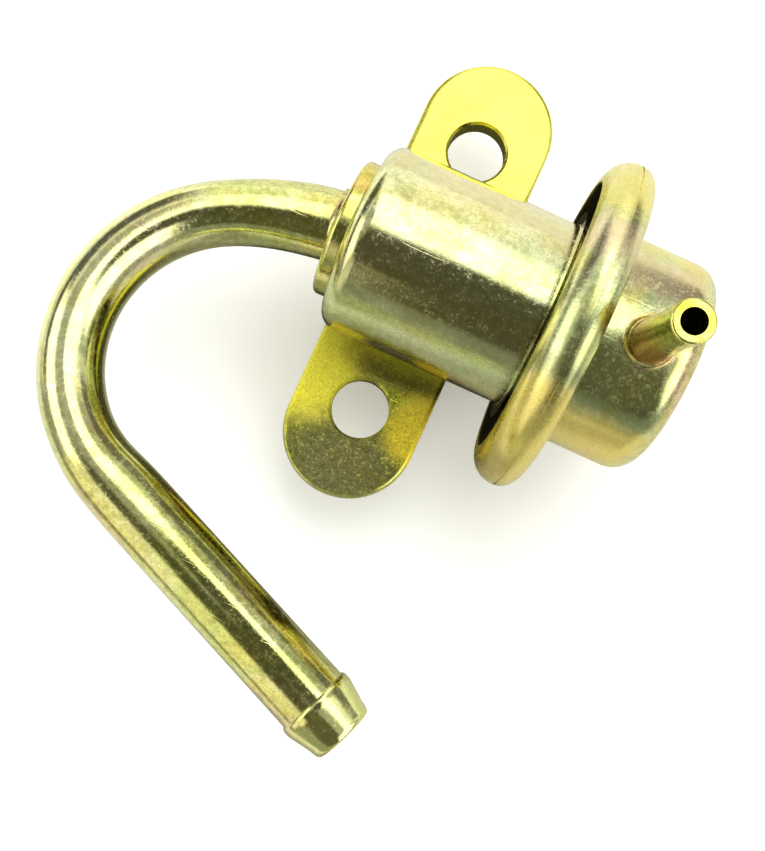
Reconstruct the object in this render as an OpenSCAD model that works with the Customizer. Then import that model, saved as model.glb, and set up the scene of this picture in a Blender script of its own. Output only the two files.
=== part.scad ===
// Flange-mounted fuel pressure regulator with a bent return pipe and a side vacuum nipple.
// Units are millimetres. The origin is on the plate's underside, on the inlet spigot's axis.
// +X runs along the body towards the spring cap, +Y towards one bolt ear, +Z away from the fuel rail.

/* [Mounting plate] */
// Distance between the two bolt holes
bolt_spacing = 34; // [30:0.5:44]
// Diameter of each bolt hole
bolt_hole_d = 7; // [5:0.1:9]
// Width of the plate across the ears
plate_w = 16; // [13:0.5:20]
// Thickness of the plate
plate_t = 3.2; // [2:0.1:5]
// Distance from a bolt hole's centre to the tip of its ear
ear_reach = 11; // [9:0.5:13]
// Rounding of the plate's upper edge
plate_edge_r = 0.6; // [0.2:0.1:1.2]
// Depth of the trough that the housing lies in
saddle_depth = 0.4; // [0.2:0.1:1]

/* [Inlet spigot] */
// Outside diameter of the spigot
spigot_d = 12; // [10:0.5:14]
// Length of the spigot below the plate
spigot_len = 9; // [7:0.5:14]
// Diameter of the fuel way through the spigot
spigot_bore_d = 5; // [3:0.5:6]
// Thickness of the O-ring's cord
o_ring_cord = 2.2; // [1.6:0.1:3]

/* [Fuel housing] */
// Outside diameter of the drawn housing
housing_d = 21.4; // [18:0.2:24]
// Length of the housing on the pipe's side of the plate's middle
housing_back = 8.1; // [7.6:0.1:12]
// Sheet thickness of the housing
housing_wall = 1.2; // [0.8:0.1:1.6]
// Rounding of the housing's closed end
shoulder_r = 2; // [1.4:0.1:3]
// Distance from the plate's middle to the diaphragm
diaphragm_x = 16.7; // [15.6:0.1:20]

/* [Crimped rim and spring cap] */
// Outside diameter of the crimped rim
rim_d = 38; // [35:0.2:44]
// Radius of the lip's roll towards the housing
rim_roll_r = 3; // [2.6:0.1:3.4]
// Rounding of the rim's edge towards the cap
rim_edge_r = 2; // [1.4:0.1:2.4]
// Sheet thickness of the cap's flange
cap_flange_t = 1.6; // [1.3:0.1:2.2]
// Outside diameter of the spring cap
cap_d = 24.2; // [22:0.2:27]
// Length of the cap beyond the rim
cap_len = 11; // [10:0.1:16]
// Rounding of the cap's closed end
cap_corner_r = 3; // [2:0.1:4]
// Sheet thickness of the spring cap
cap_wall = 1.2; // [0.8:0.1:1.6]

/* [Return pipe] */
// Outside diameter of the pipe
pipe_d = 8; // [6:0.1:9]
// Wall thickness of the pipe
pipe_wall = 1; // [0.7:0.1:1.2]
// Radius of the first, wide bend
bend_1_r = 32; // [24:0.1:40]
// Turn of the first bend
bend_1_deg = 30; // [20:0.1:45]
// Radius of the second bend
bend_2_r = 17.4; // [14:0.1:24]
// Turn of the second bend
bend_2_deg = 127.2; // [80:0.1:140]
// Length of the straight leg up to the hose bead
leg_len = 31.5; // [15:0.1:60]
// Roll of the bend's plane away from the mounting plate
pipe_roll = 7; // [0:0.5:20]
// Largest diameter of the hose bead
bead_d = 8.6; // [8.2:0.1:9.6]
// Diameter of the bead's tip
bead_tip_d = 7.3; // [6.8:0.1:7.6]
// Length of the hose bead
bead_len = 4.8; // [3.6:0.1:7]
// Diameter of the washer round the pipe at the housing
washer_d = 15.6; // [13:0.1:16]
// Thickness of that washer
washer_t = 1.8; // [1:0.1:3]

/* [Vacuum nipple] */
// Distance from the plate's middle to the nipple
nipple_x = 24.3; // [23.4:0.1:28]
// Height of the nipple above the cap
nipple_len = 15; // [10:0.1:20]
// Diameter of the nipple at its foot
nipple_foot_d = 4.6; // [4:0.1:5]
// Diameter of the neck behind the end bead
nipple_neck_d = 3.6; // [3.2:0.1:4]
// Diameter of the end bead
nipple_bead_d = 4.1; // [3.9:0.1:5]
// Diameter of the air way
nipple_bore_d = 2.5; // [1.5:0.1:2.6]

/* [Valve and spring] */
// Opening travel that the inside leaves room for
valve_lift = 0.6; // [0.3:0.1:1]
// Wire thickness of the main spring
spring_wire = 1.7; // [1.2:0.1:1.8]
// Number of coils, closed end coils included
spring_coils = 4; // [3:0.5:4]

/* [Hidden] */
$fn = 96;

zinc = [0.76, 0.68, 0.28];
pale_zinc = [0.80, 0.76, 0.50];
steel = [0.62, 0.62, 0.60];
bright = [0.78, 0.78, 0.76];
rubber = [0.07, 0.07, 0.07];
cloth = [0.17, 0.13, 0.10];
braze = [0.66, 0.56, 0.24];

housing_r = housing_d / 2;
housing_ri = housing_r - housing_wall;
axis_z = plate_t + housing_r - saddle_depth;
housing_x0 = -housing_back;
washer_x = housing_x0 - washer_t;
braze_gap = 0.02;
diaphragm_t = 0.8;
flange_t = 1.2;
flange_x = diaphragm_x - flange_t;
flare_r = 3;
cap_face_x = diaphragm_x + diaphragm_t;
rim_r = rim_d / 2;
rim_x1 = cap_face_x + cap_flange_t;
seam_w = 0.2;
seam_x = rim_x1 - rim_edge_r - seam_w;
lip_x = seam_x - rim_roll_r;
lip_edge = 0.4;
lip_r = rim_r - rim_roll_r - lip_edge;
flange_r = lip_r + 1.6;
cap_r = cap_d / 2;
cap_ri = cap_r - cap_wall;
cap_x1 = rim_x1 + cap_len;
cap_floor_x = cap_x1 - cap_wall;
cap_floor_r = cap_corner_r - cap_wall;
cap_flare_r = 2;

spigot_r = spigot_d / 2;
shank_r = spigot_r - 1;
o_ring_stand = 0.6;
groove_r = spigot_r + o_ring_stand - o_ring_cord;
groove_w = o_ring_cord + 0.4;
groove_z = -spigot_len / 2 - 0.1;

pipe_r = pipe_d / 2;
pipe_ri = pipe_r - pipe_wall;
bend_x = housing_x0 + housing_wall + 0.5;
lap = 0.4;
swell = 0.01;
turn = bend_1_deg + bend_2_deg;
c1 = [bend_x, -bend_1_r];
p1 = c1 + bend_1_r * [-sin(bend_1_deg), cos(bend_1_deg)];
c2 = p1 + bend_2_r * [sin(bend_1_deg), -cos(bend_1_deg)];
p2 = c2 + bend_2_r * [-sin(turn), cos(turn)];

disc_t = 0.8;
disc_edge_r = 0.4;
stem_r = 2.6;
head_r = 4.8;
head_t = 1.6;
head_stand = 0.3;
rivet_r = 3.8;
head_x = diaphragm_x - disc_t - head_t;
seat_x = head_x - head_stand;
seat_bore_r = 1.6;
collar_t = 1;
seat_plug = 4;
pipe_end_x = seat_x - collar_t - 0.9;
ball_r = 1.4;
ball_x = seat_x + 0.5 + ball_r;
valve_t = 1.3;
valve_step_t = 0.6;
valve_r = 3.1;
valve_step_r = 3.75;
play = 0.05;

fold_mid_r = cap_ri - 0.5;
fold_out = valve_lift + 1.05;
fold_in = fold_out - diaphragm_t;
disc_r = fold_mid_r - fold_out - 0.25;
back_disc_r = min(disc_r - 0.1, housing_ri - 0.6);
plate_x = cap_face_x + 0.9;
spring_rim = 0.55;
spring_gap = 0.1;
spring_r = disc_r - spring_rim - spring_gap - spring_wire / 2;
spring_seat_t = 1;
spring_seat_r = cap_ri - cap_floor_r - 0.7;
spring_pilot_t = 1.2;
spring_x1 = cap_floor_x - spring_seat_t;

// Turns a profile of radius against length into a round piece on the body's axis.
module on_axis() {
    translate([0, 0, axis_z])
        rotate([0, 90, 0])
            children();
}

// Carries the pipe's flat layout to its place, rolled about the body's axis.
module on_pipe() {
    translate([0, 0, axis_z])
        rotate([-pipe_roll, 0, 0])
            children();
}

// A ring section between two radii.
module band(r0, r1, x0, x1) {
    translate([r0, x0])
        square([r1 - r0, x1 - x0]);
}

// The waste outside a quarter round in the corner at radius r and length x.
module corner(r, x, fillet, out_r, out_x) {
    difference() {
        translate([out_r > 0 ? r - fillet : r, out_x > 0 ? x - fillet : x])
            square(fillet);
        translate([r - out_r * fillet, x - out_x * fillet])
            circle(r = fillet);
    }
}

// Half of the plate's section, with a rounded upper edge.
module plate_section() {
    square([plate_w / 2, plate_t - plate_edge_r]);
    square([plate_w / 2 - plate_edge_r, plate_t]);
    translate([plate_w / 2 - plate_edge_r, plate_t - plate_edge_r])
        circle(r = plate_edge_r);
}

module mounting_plate() {
    end_y = bolt_spacing / 2 + ear_reach - plate_w / 2;
    color(zinc)
        difference() {
            union() {
                translate([0, end_y, 0])
                    rotate([90, 0, 0])
                        linear_extrude(height = 2 * end_y) {
                            plate_section();
                            mirror([1, 0])
                                plate_section();
                        }
                for (s = [-1, 1])
                    translate([0, s * end_y, 0])
                        rotate_extrude()
                            intersection() {
                                plate_section();
                                square([plate_w, plate_t]);
                            }
            }
            for (s = [-1, 1])
                translate([0, s * bolt_spacing / 2, 0]) {
                    translate([0, 0, -1])
                        cylinder(d = bolt_hole_d, h = plate_t + 2);
                    translate([0, 0, plate_t - 0.3])
                        cylinder(d1 = bolt_hole_d, d2 = bolt_hole_d + 0.8, h = 0.4);
                }
            translate([0, 0, -1])
                cylinder(r = spigot_r + braze_gap, h = plate_t + 2);
            on_axis()
                translate([0, 0, -plate_w])
                    cylinder(r = housing_r, h = 2 * plate_w);
        }
}

module inlet_spigot() {
    seat_z = plate_t - saddle_depth;
    top = axis_z - housing_ri + 0.2;
    nose = 0.9;
    color(zinc)
        rotate_extrude()
            difference() {
                union() {
                    band(spigot_bore_d / 2, spigot_r, -spigot_len, seat_z);
                    band(spigot_bore_d / 2, shank_r, -1, top);
                }
                band(groove_r, spigot_r + 1, groove_z - groove_w / 2, groove_z + groove_w / 2);
                translate([spigot_r, -spigot_len])
                    rotate(45)
                        square(nose * sqrt(2), center = true);
            }
}

module inlet_o_ring() {
    color(rubber)
        translate([0, 0, groove_z])
            rotate_extrude()
                translate([groove_r + o_ring_cord / 2, 0])
                    circle(d = o_ring_cord);
}

module fuel_housing() {
    color(zinc)
        difference() {
            on_axis()
                rotate_extrude()
                    difference() {
                        union() {
                            band(0, housing_r, housing_x0, diaphragm_x);
                            band(0, flange_r, flange_x, diaphragm_x);
                            corner(housing_r, flange_x - 1.6, 1.6, -1, -1);
                        }
                        corner(housing_r, housing_x0, shoulder_r, 1, -1);
                        difference() {
                            band(0, housing_ri, housing_x0 + housing_wall, diaphragm_x + 1);
                            corner(housing_ri, housing_x0 + housing_wall, 1, 1, -1);
                        }
                        corner(housing_ri, diaphragm_x, flare_r, -1, 1);
                    }
            translate([0, 0, -1])
                cylinder(r = shank_r, h = axis_z);
            pipe_root(pipe_r + braze_gap);
        }
}

module end_washer() {
    color(zinc)
        difference() {
            on_axis()
                rotate_extrude()
                    difference() {
                        band(0, washer_d / 2, washer_x, housing_x0);
                        corner(washer_d / 2, washer_x, 0.5, 1, -1);
                        corner(washer_d / 2, housing_x0, 0.3, 1, 1);
                    }
            pipe_root(pipe_r + braze_gap);
        }
}

// Filler left between the pipe and the washer.
module pipe_braze() {
    f = 0.9;
    color(braze)
        difference() {
            on_axis()
                rotate_extrude()
                    difference() {
                        band(pipe_r - 0.6, pipe_r + f + 0.1, washer_x - f - 0.1, washer_x);
                        translate([pipe_r + f + 0.1, washer_x - f - 0.1])
                            circle(r = f);
                    }
            pipe_root(pipe_r);
        }
}

// The start of the pipe's path: the straight length in the housing and the first bend.
module pipe_root(r) {
    on_axis()
        translate([0, 0, bend_x - lap])
            cylinder(r = r, h = pipe_end_x - bend_x + lap);
    on_pipe()
        translate([c1[0], c1[1], 0])
            rotate([0, 0, 90])
                rotate_extrude(angle = bend_1_deg)
                    translate([bend_1_r, 0])
                        circle(r = r + 2 * swell);
}

// A round rod along the pipe's path up to the hose bead. Each length laps into a bend that is a
// hundredth of a millimetre fuller, so that no two faces lie on each other.
module pipe_rod(r) {
    lap_deg = lap / bend_2_r * 180 / PI;
    pipe_root(r);
    on_pipe() {
        translate([c2[0], c2[1], 0])
            rotate([0, 0, 90 + bend_1_deg - lap_deg])
                rotate_extrude(angle = bend_2_deg + lap_deg)
                    translate([bend_2_r, 0])
                        circle(r = r + swell);
        on_leg()
            translate([0, 0, -lap])
                cylinder(r = r, h = leg_len + lap);
    }
}

// Turns a piece built along Z to the pipe's straight leg.
module on_leg() {
    translate([p2[0], p2[1], 0])
        rotate([0, 0, 180 + turn])
            rotate([0, 90, 0])
                children();
}

// Half of the hose end, with a sharp back step, a short land and a tapered nose.
module bead_section() {
    land = 1.1;
    difference() {
        union() {
            band(0, bead_d / 2, 0.4, land);
            band(0, bead_d / 2 - 0.4, 0, land);
            intersection() {
                translate([bead_d / 2 - 0.4, 0.4])
                    circle(r = 0.4);
                band(0, bead_d, 0, land);
            }
            polygon([[0, land], [bead_d / 2, land], [bead_tip_d / 2, bead_len], [0, bead_len]]);
        }
        corner(bead_tip_d / 2, bead_len, 0.3, 1, 1);
    }
}

module return_pipe() {
    color(zinc)
        difference() {
            union() {
                pipe_rod(pipe_r);
                on_pipe()
                    on_leg()
                        translate([0, 0, leg_len])
                            rotate_extrude()
                                bead_section();
            }
            pipe_rod(pipe_ri);
            on_pipe()
                on_leg()
                    translate([0, 0, leg_len - 0.5])
                        cylinder(r = pipe_ri, h = bead_len + 2);
        }
}

module valve_seat() {
    color(bright)
        on_axis()
            rotate_extrude()
                difference() {
                    union() {
                        band(seat_bore_r, pipe_ri, pipe_end_x - seat_plug, pipe_end_x);
                        band(seat_bore_r, pipe_r, pipe_end_x, pipe_end_x + collar_t);
                        band(seat_bore_r, stem_r, pipe_end_x, seat_x);
                    }
                    corner(pipe_r, pipe_end_x + collar_t, 0.3, 1, 1);
                }
}

module spring_cap() {
    color(zinc)
        difference() {
            on_axis()
                rotate_extrude()
                    difference() {
                        union() {
                            band(0, cap_r, cap_face_x, cap_x1);
                            band(0, rim_r, lip_x, rim_x1);
                            corner(cap_r, rim_x1, 1.2, -1, 1);
                        }
                        band(0, lip_r, lip_x - 1, flange_x);
                        band(0, flange_r, flange_x, cap_face_x);
                        corner(rim_r, lip_x, rim_roll_r, 1, -1);
                        corner(lip_r, lip_x, lip_edge - 0.1, -1, -1);
                        corner(rim_r, rim_x1, rim_edge_r, 1, 1);
                        band(rim_r - seam_w, rim_r + 1, seam_x, seam_x + seam_w);
                        corner(cap_r, cap_x1, cap_corner_r, 1, 1);
                        difference() {
                            band(0, cap_ri, cap_face_x - 1, cap_floor_x);
                            corner(cap_ri, cap_floor_x, cap_floor_r, 1, 1);
                        }
                        corner(cap_ri, cap_face_x, cap_flare_r, -1, -1);
                    }
            translate([nipple_x, 0, axis_z])
                cylinder(d = nipple_foot_d, h = cap_r + 2);
        }
}

module vacuum_nipple() {
    z0 = cap_ri - 0.4;
    z1 = cap_r + nipple_len;
    bead_z = z1 - 2.2;
    color(zinc)
        translate([nipple_x, 0, axis_z])
            rotate_extrude()
                difference() {
                    union() {
                        band(0, nipple_foot_d / 2, z0, cap_r + 1.4);
                        polygon([[0, cap_r + 1.4], [nipple_foot_d / 2, cap_r + 1.4],
                            [nipple_neck_d / 2, bead_z], [0, bead_z]]);
                        band(0, nipple_bead_d / 2, bead_z, z1);
                    }
                    corner(nipple_bead_d / 2, z1, 0.25, 1, 1);
                    corner(nipple_bead_d / 2, bead_z, 0.2, 1, -1);
                    band(0, nipple_bore_d / 2, z0 - 1, z1 + 1);
                }
}

// Filler ring at the nipple's foot, shaped to the cap.
module nipple_braze() {
    f = 0.45;
    foot = nipple_foot_d / 2;
    top = cap_r + f + 0.15;
    color(braze)
        difference() {
            translate([nipple_x, 0, axis_z])
                rotate_extrude()
                    difference() {
                        band(foot, foot + f + 0.1, cap_r - 0.8, top);
                        translate([foot + f + 0.1, top])
                            circle(r = f);
                    }
            on_axis()
                cylinder(r = cap_r, h = cap_x1);
        }
}

module diaphragm() {
    color(cloth)
        on_axis()
            rotate_extrude() {
                band(stem_r, fold_mid_r - fold_in, diaphragm_x, cap_face_x);
                band(fold_mid_r + fold_in, flange_r - 0.2, diaphragm_x, cap_face_x);
                intersection() {
                    difference() {
                        translate([fold_mid_r, diaphragm_x])
                            circle(r = fold_out);
                        translate([fold_mid_r, diaphragm_x])
                            circle(r = fold_in);
                    }
                    band(0, rim_r, diaphragm_x, diaphragm_x + 2 * fold_out);
                }
            }
}

module diaphragm_washer() {
    color(steel)
        on_axis()
            rotate_extrude()
                difference() {
                    band(stem_r, back_disc_r, diaphragm_x - disc_t, diaphragm_x);
                    corner(back_disc_r, diaphragm_x, disc_edge_r, 1, 1);
                }
}

// Turned holder: its cup keeps the valve plate and ball, its shank is riveted through the diaphragm.
module valve_holder() {
    step_x = seat_x + valve_t - valve_step_t - play;
    color(bright)
        on_axis()
            rotate_extrude()
                difference() {
                    union() {
                        band(0, head_r, head_x, diaphragm_x - disc_t);
                        band(0, stem_r, head_x, plate_x);
                        band(0, rivet_r, plate_x, plate_x + disc_t);
                    }
                    band(0, valve_r + 2 * play, head_x - 1, step_x + play);
                    band(0, valve_step_r + 3 * play, step_x, seat_x + valve_t + 2 * play);
                    band(0, ball_r + play, seat_x + valve_t, ball_x + ball_r + play);
                    corner(rivet_r, plate_x + disc_t, 0.5, 1, 1);
                    corner(head_r, head_x, 0.3, 1, -1);
                }
}

module valve_plate() {
    color(steel)
        on_axis()
            rotate_extrude()
                difference() {
                    union() {
                        band(0, valve_r, seat_x, seat_x + valve_t);
                        band(0, valve_step_r, seat_x + valve_t - valve_step_t, seat_x + valve_t);
                    }
                    translate([0, ball_x])
                        circle(r = ball_r);
                }
}

module valve_ball() {
    color(bright)
        translate([ball_x, 0, axis_z])
            sphere(r = ball_r);
}

module spring_plate() {
    rim_h = 1.2;
    color(steel)
        on_axis()
            rotate_extrude()
                difference() {
                    band(stem_r, disc_r, cap_face_x, plate_x + rim_h);
                    band(0, disc_r - spring_rim, plate_x, plate_x + rim_h + 1);
                    corner(disc_r, cap_face_x, disc_edge_r, 1, -1);
                }
}

// Place along the body of the spring wire's middle at a turn counted in degrees. The end coils lie
// on each other with a little play, the coils between share the rest of the length.
function coil_lift(t) =
    let (ends = 270, total = 360 * spring_coils, close = (spring_wire + play) / 360,
        low = plate_x + spring_wire / 2, high = spring_x1 - spring_wire / 2,
        open = (high - low - 2 * ends * close) / (total - 2 * ends))
    low + close * min(t, ends) + open * max(0, min(t, total - ends) - ends)
        + close * max(0, t - total + ends);

module main_spring() {
    steps = spring_coils * 30;
    sides = 10;
    points = [for (i = [0:steps]) let (t = i * 360 * spring_coils / steps) for (k = [0:sides - 1])
        let (a = k * 360 / sides, r = spring_r + spring_wire / 2 * cos(a))
        [coil_lift(t) + spring_wire / 2 * sin(a), r * cos(t), axis_z + r * sin(t)]];
    walls = [for (i = [0:steps - 1]) for (k = [0:sides - 1])
        let (a = i * sides + k, b = i * sides + (k + 1) % sides)
        [a, b, b + sides, a + sides]];
    first = [for (k = [0:sides - 1]) sides - 1 - k];
    last = [for (k = [0:sides - 1]) steps * sides + k];
    color(steel)
        polyhedron(points = points, faces = concat(walls, [first], [last]), convexity = 10);
}

module spring_seat() {
    color(steel)
        on_axis()
            rotate_extrude() {
                band(0, spring_seat_r, spring_x1, cap_floor_x);
                band(0, spring_r - spring_wire / 2 - 2 * spring_gap, spring_x1 - spring_pilot_t, cap_floor_x);
            }
}

mounting_plate();
inlet_spigot();
inlet_o_ring();
fuel_housing();
end_washer();
pipe_braze();
return_pipe();
valve_seat();
spring_cap();
vacuum_nipple();
nipple_braze();
diaphragm();
diaphragm_washer();
valve_holder();
valve_plate();
valve_ball();
spring_plate();
main_spring();
spring_seat();
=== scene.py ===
"""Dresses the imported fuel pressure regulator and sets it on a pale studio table."""
import logging
import math
from dataclasses import dataclass, replace
from enum import Enum
from typing import Any, Iterator, Optional, Sequence, Union

import bmesh
import bpy
from mathutils import Matrix, Vector


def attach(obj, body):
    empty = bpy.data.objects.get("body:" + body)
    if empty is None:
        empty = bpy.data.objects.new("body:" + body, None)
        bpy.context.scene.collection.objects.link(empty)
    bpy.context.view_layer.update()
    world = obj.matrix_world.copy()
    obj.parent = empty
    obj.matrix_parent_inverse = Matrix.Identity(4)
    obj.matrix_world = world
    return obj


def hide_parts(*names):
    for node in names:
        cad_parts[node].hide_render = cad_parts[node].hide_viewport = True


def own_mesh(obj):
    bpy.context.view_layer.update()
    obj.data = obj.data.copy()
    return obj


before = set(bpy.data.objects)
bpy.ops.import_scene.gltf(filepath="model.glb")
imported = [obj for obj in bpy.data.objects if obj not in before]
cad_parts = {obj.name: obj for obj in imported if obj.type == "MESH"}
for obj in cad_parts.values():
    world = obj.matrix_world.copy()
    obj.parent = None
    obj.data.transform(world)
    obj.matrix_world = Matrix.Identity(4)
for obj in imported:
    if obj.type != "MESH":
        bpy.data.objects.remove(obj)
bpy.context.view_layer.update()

LOG = logging.getLogger("regulator")
MM = 0.001
FIXED_BODY = "regulator"
AXIS_Z_MM = 13.5
HOUSING_R_MM = 10.7
MERGE_MM = 0.0005
SHARP_DEG = 40.0
Colour = tuple[float, float, float]
Triple = tuple[float, float, float]
Span = tuple[float, float]
Sockets = dict[Union[str, int], Any]
BLACK: Colour = (0.0, 0.0, 0.0)
WHITE: Colour = (1.0, 1.0, 1.0)


class Slot(Enum):
    """The record's material slots named for the new pieces; the pieces are not given them."""

    ZINC = "yellow_zinc"
    PLAIN = "plain_steel"


class Wire:
    """A shader socket whose arithmetic adds Math nodes to its tree."""

    def __init__(self, tree: "ShaderTree", socket: bpy.types.NodeSocket) -> None:
        """Keeps the tree and the output socket."""
        self.tree = tree
        self.socket = socket

    def _math(self, operation: str, a: Any, b: Any = None) -> "Wire":
        """Adds a Math node for one or two values or wires and gives its result."""
        inputs = {0: a} if b is None else {0: a, 1: b}
        return self.tree.node("ShaderNodeMath", {"operation": operation}, inputs)

    def __add__(self, other: Any) -> "Wire":
        """Adds."""
        return self._math("ADD", self, other)

    def __radd__(self, other: Any) -> "Wire":
        """Adds, with the wire on the right."""
        return self._math("ADD", other, self)

    def __sub__(self, other: Any) -> "Wire":
        """Subtracts."""
        return self._math("SUBTRACT", self, other)

    def __rsub__(self, other: Any) -> "Wire":
        """Subtracts, with the wire on the right."""
        return self._math("SUBTRACT", other, self)

    def __mul__(self, other: Any) -> "Wire":
        """Multiplies."""
        return self._math("MULTIPLY", self, other)

    def __rmul__(self, other: Any) -> "Wire":
        """Multiplies, with the wire on the right."""
        return self._math("MULTIPLY", other, self)

    def __truediv__(self, other: Any) -> "Wire":
        """Divides."""
        return self._math("DIVIDE", self, other)

    def __rtruediv__(self, other: Any) -> "Wire":
        """Divides, with the wire on the right."""
        return self._math("DIVIDE", other, self)

    def root(self) -> "Wire":
        """Takes the square root."""
        return self._math("SQRT", self)

    def size(self) -> "Wire":
        """Drops the sign."""
        return self._math("ABSOLUTE", self)

    def angle_over(self, other: Any) -> "Wire":
        """Gives the angle whose sine is this value and whose cosine is the other, in degrees."""
        return self._math("ARCTAN2", self, other) * (180.0 / math.pi)

    def at_most(self, other: Any) -> "Wire":
        """Keeps the smaller of two values."""
        return self._math("MINIMUM", self, other)

    def at_least(self, other: Any) -> "Wire":
        """Keeps the larger of two values."""
        return self._math("MAXIMUM", self, other)

    def ramp(self, low: float, high: float) -> "Wire":
        """Maps low..high smoothly to 0..1."""
        return self.tree.node(
            "ShaderNodeMapRange",
            {"interpolation_type": "SMOOTHSTEP"},
            {"Value": self, "From Min": low, "From Max": high, "To Min": 0.0, "To Max": 1.0},
        )


class ShaderTree:
    """A node tree that is written as calls and expressions."""

    def __init__(self, owner: Union[bpy.types.Material, bpy.types.World]) -> None:
        """Clears the owner's tree."""
        owner.use_nodes = True
        self.tree = owner.node_tree
        self.tree.nodes.clear()

    def node(
        self,
        kind: str,
        settings: Optional[dict[str, Any]] = None,
        inputs: Optional[Sockets] = None,
        output: Union[str, int] = 0,
    ) -> Wire:
        """Adds any node.

        Args:
            kind: Blender's node type.
            settings: attributes that are set before the sockets.
            inputs: values or wires by socket name or number.
            output: the output to hand back.

        Returns:
            The wire of that output.
        """
        made = self.tree.nodes.new(kind)
        for key, value in (settings or {}).items():
            if key == "stops":
                self._stops(made, value)
            else:
                setattr(made, key, value)
        for key, value in (inputs or {}).items():
            socket = made.inputs[key]
            if isinstance(value, Wire):
                self.tree.links.new(value.socket, socket)
            elif isinstance(value, tuple) and len(value) == 3 and socket.type == "RGBA":
                socket.default_value = (*value, 1.0)
            else:
                socket.default_value = value
        return Wire(self, made.outputs[output] if made.outputs else made.inputs[0])

    @staticmethod
    def _stops(ramp: bpy.types.Node, stops: Sequence[tuple[float, Colour]]) -> None:
        """Sets a colour ramp's stops.

        Args:
            ramp: the colour ramp node.
            stops: position and colour of each stop.
        """
        elements = ramp.color_ramp.elements
        while len(elements) < len(stops):
            elements.new(0.5)
        for element, (position, colour) in zip(elements, stops):
            element.position = position
            element.color = (*colour, 1.0)

    def place(self) -> Wire:
        """Gives the Object coordinates."""
        return self.node("ShaderNodeTexCoord", output="Object")

    def stretched(self, scale: Triple) -> Wire:
        """Gives Object coordinates with X, Y and Z each scaled by a factor of its own."""
        return self.node("ShaderNodeMapping", {}, {"Vector": self.place(), "Scale": scale})

    def axes(self) -> tuple[Wire, Wire, Wire]:
        """Gives the Object coordinates one by one, in millimetres.

        Returns:
            The wires of X, Y and Z.
        """
        place = self.place()
        parts = [self.node("ShaderNodeSeparateXYZ", {}, {"Vector": place}, axis) for axis in "XYZ"]
        return tuple(part * (1.0 / MM) for part in parts)

    def round_axis(self) -> tuple[Wire, Wire, Wire]:
        """Gives places round the body's level axis.

        Returns:
            The wires of the length along it, of the radius and of the angle from the top in degrees.
        """
        along, across, up = self.axes()
        rise = up - AXIS_Z_MM
        return along, (across * across + rise * rise).root(), across.angle_over(rise)

    def noise(
        self, size_mm: float, detail: float, where: Optional[Wire] = None, rough: float = 0.5
    ) -> Wire:
        """Adds cloudy noise.

        Args:
            size_mm: size of one cloud in millimetres.
            detail: octaves of finer noise.
            where: coordinates, or None for Object coordinates.
            rough: weight of the finer octaves.

        Returns:
            The wire of the noise, about 0.5 on average.
        """
        vector = self.place() if where is None else where
        return self.node(
            "ShaderNodeTexNoise",
            {},
            {"Vector": vector, "Scale": 1.0 / (size_mm * MM), "Detail": detail, "Roughness": rough},
        )

    def mix(
        self,
        factor: Union[Wire, float],
        a: Union[Wire, Colour],
        b: Union[Wire, Colour],
        blend: str = "MIX",
    ) -> Wire:
        """Mixes colour b into colour a by a factor from 0 to 1, in one of Blender's blend modes."""
        # A Mix node's colours are its inputs 6 and 7, and their mix is its output 2.
        settings = {"data_type": "RGBA", "blend_type": blend}
        return self.node("ShaderNodeMix", settings, {0: factor, 6: a, 7: b}, 2)

    def bump(self, height: Wire, strength: float, depth_mm: float, under: Optional[Wire] = None) -> Wire:
        """Turns a height into a normal.

        Args:
            height: height from 0 to 1.
            strength: share of the effect.
            depth_mm: depth of a height of 1, in millimetres.
            under: a normal to build on.

        Returns:
            The wire of the normal.
        """
        inputs: Sockets = {"Height": height, "Strength": strength, "Distance": depth_mm * MM}
        if under is not None:
            inputs["Normal"] = under
        return self.node("ShaderNodeBump", {}, inputs)


@dataclass(frozen=True)
class Finish:
    """A material that ends in one Principled shader."""

    name: str

    def material(self) -> bpy.types.Material:
        """Builds the material.

        Returns:
            The new material.
        """
        made = bpy.data.materials.new(self.name)
        tree = ShaderTree(made)
        shader = tree.node("ShaderNodeBsdfPrincipled", {}, self.sockets(tree))
        tree.node("ShaderNodeOutputMaterial", {}, {"Surface": shader})
        return made

    def sockets(self, tree: ShaderTree) -> Sockets:
        """Gives the shader's values and wires by socket name."""
        raise NotImplementedError


@dataclass(frozen=True)
class Recess:
    """A hollow round the body's axis, painted dark as shade where little light gets in."""

    from_x_mm: float
    full_x_mm: float
    from_r_mm: float
    full_r_mm: float
    from_y_mm: float = 0.0
    soft_y_mm: float = 1.2

    def depth(self, tree: ShaderTree) -> Wire:
        """Gives the shade from 0 outside to 1 inside.

        Args:
            tree: the material's tree.

        Returns:
            The wire of the shade.
        """
        along, radius, _ = tree.round_axis()
        shade = along.ramp(self.from_x_mm, self.full_x_mm) * radius.ramp(self.from_r_mm, self.full_r_mm)
        if self.from_y_mm > 0.0:
            across = tree.axes()[1].size()
            shade = shade * across.ramp(self.from_y_mm, self.from_y_mm + self.soft_y_mm)
        return shade


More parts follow.
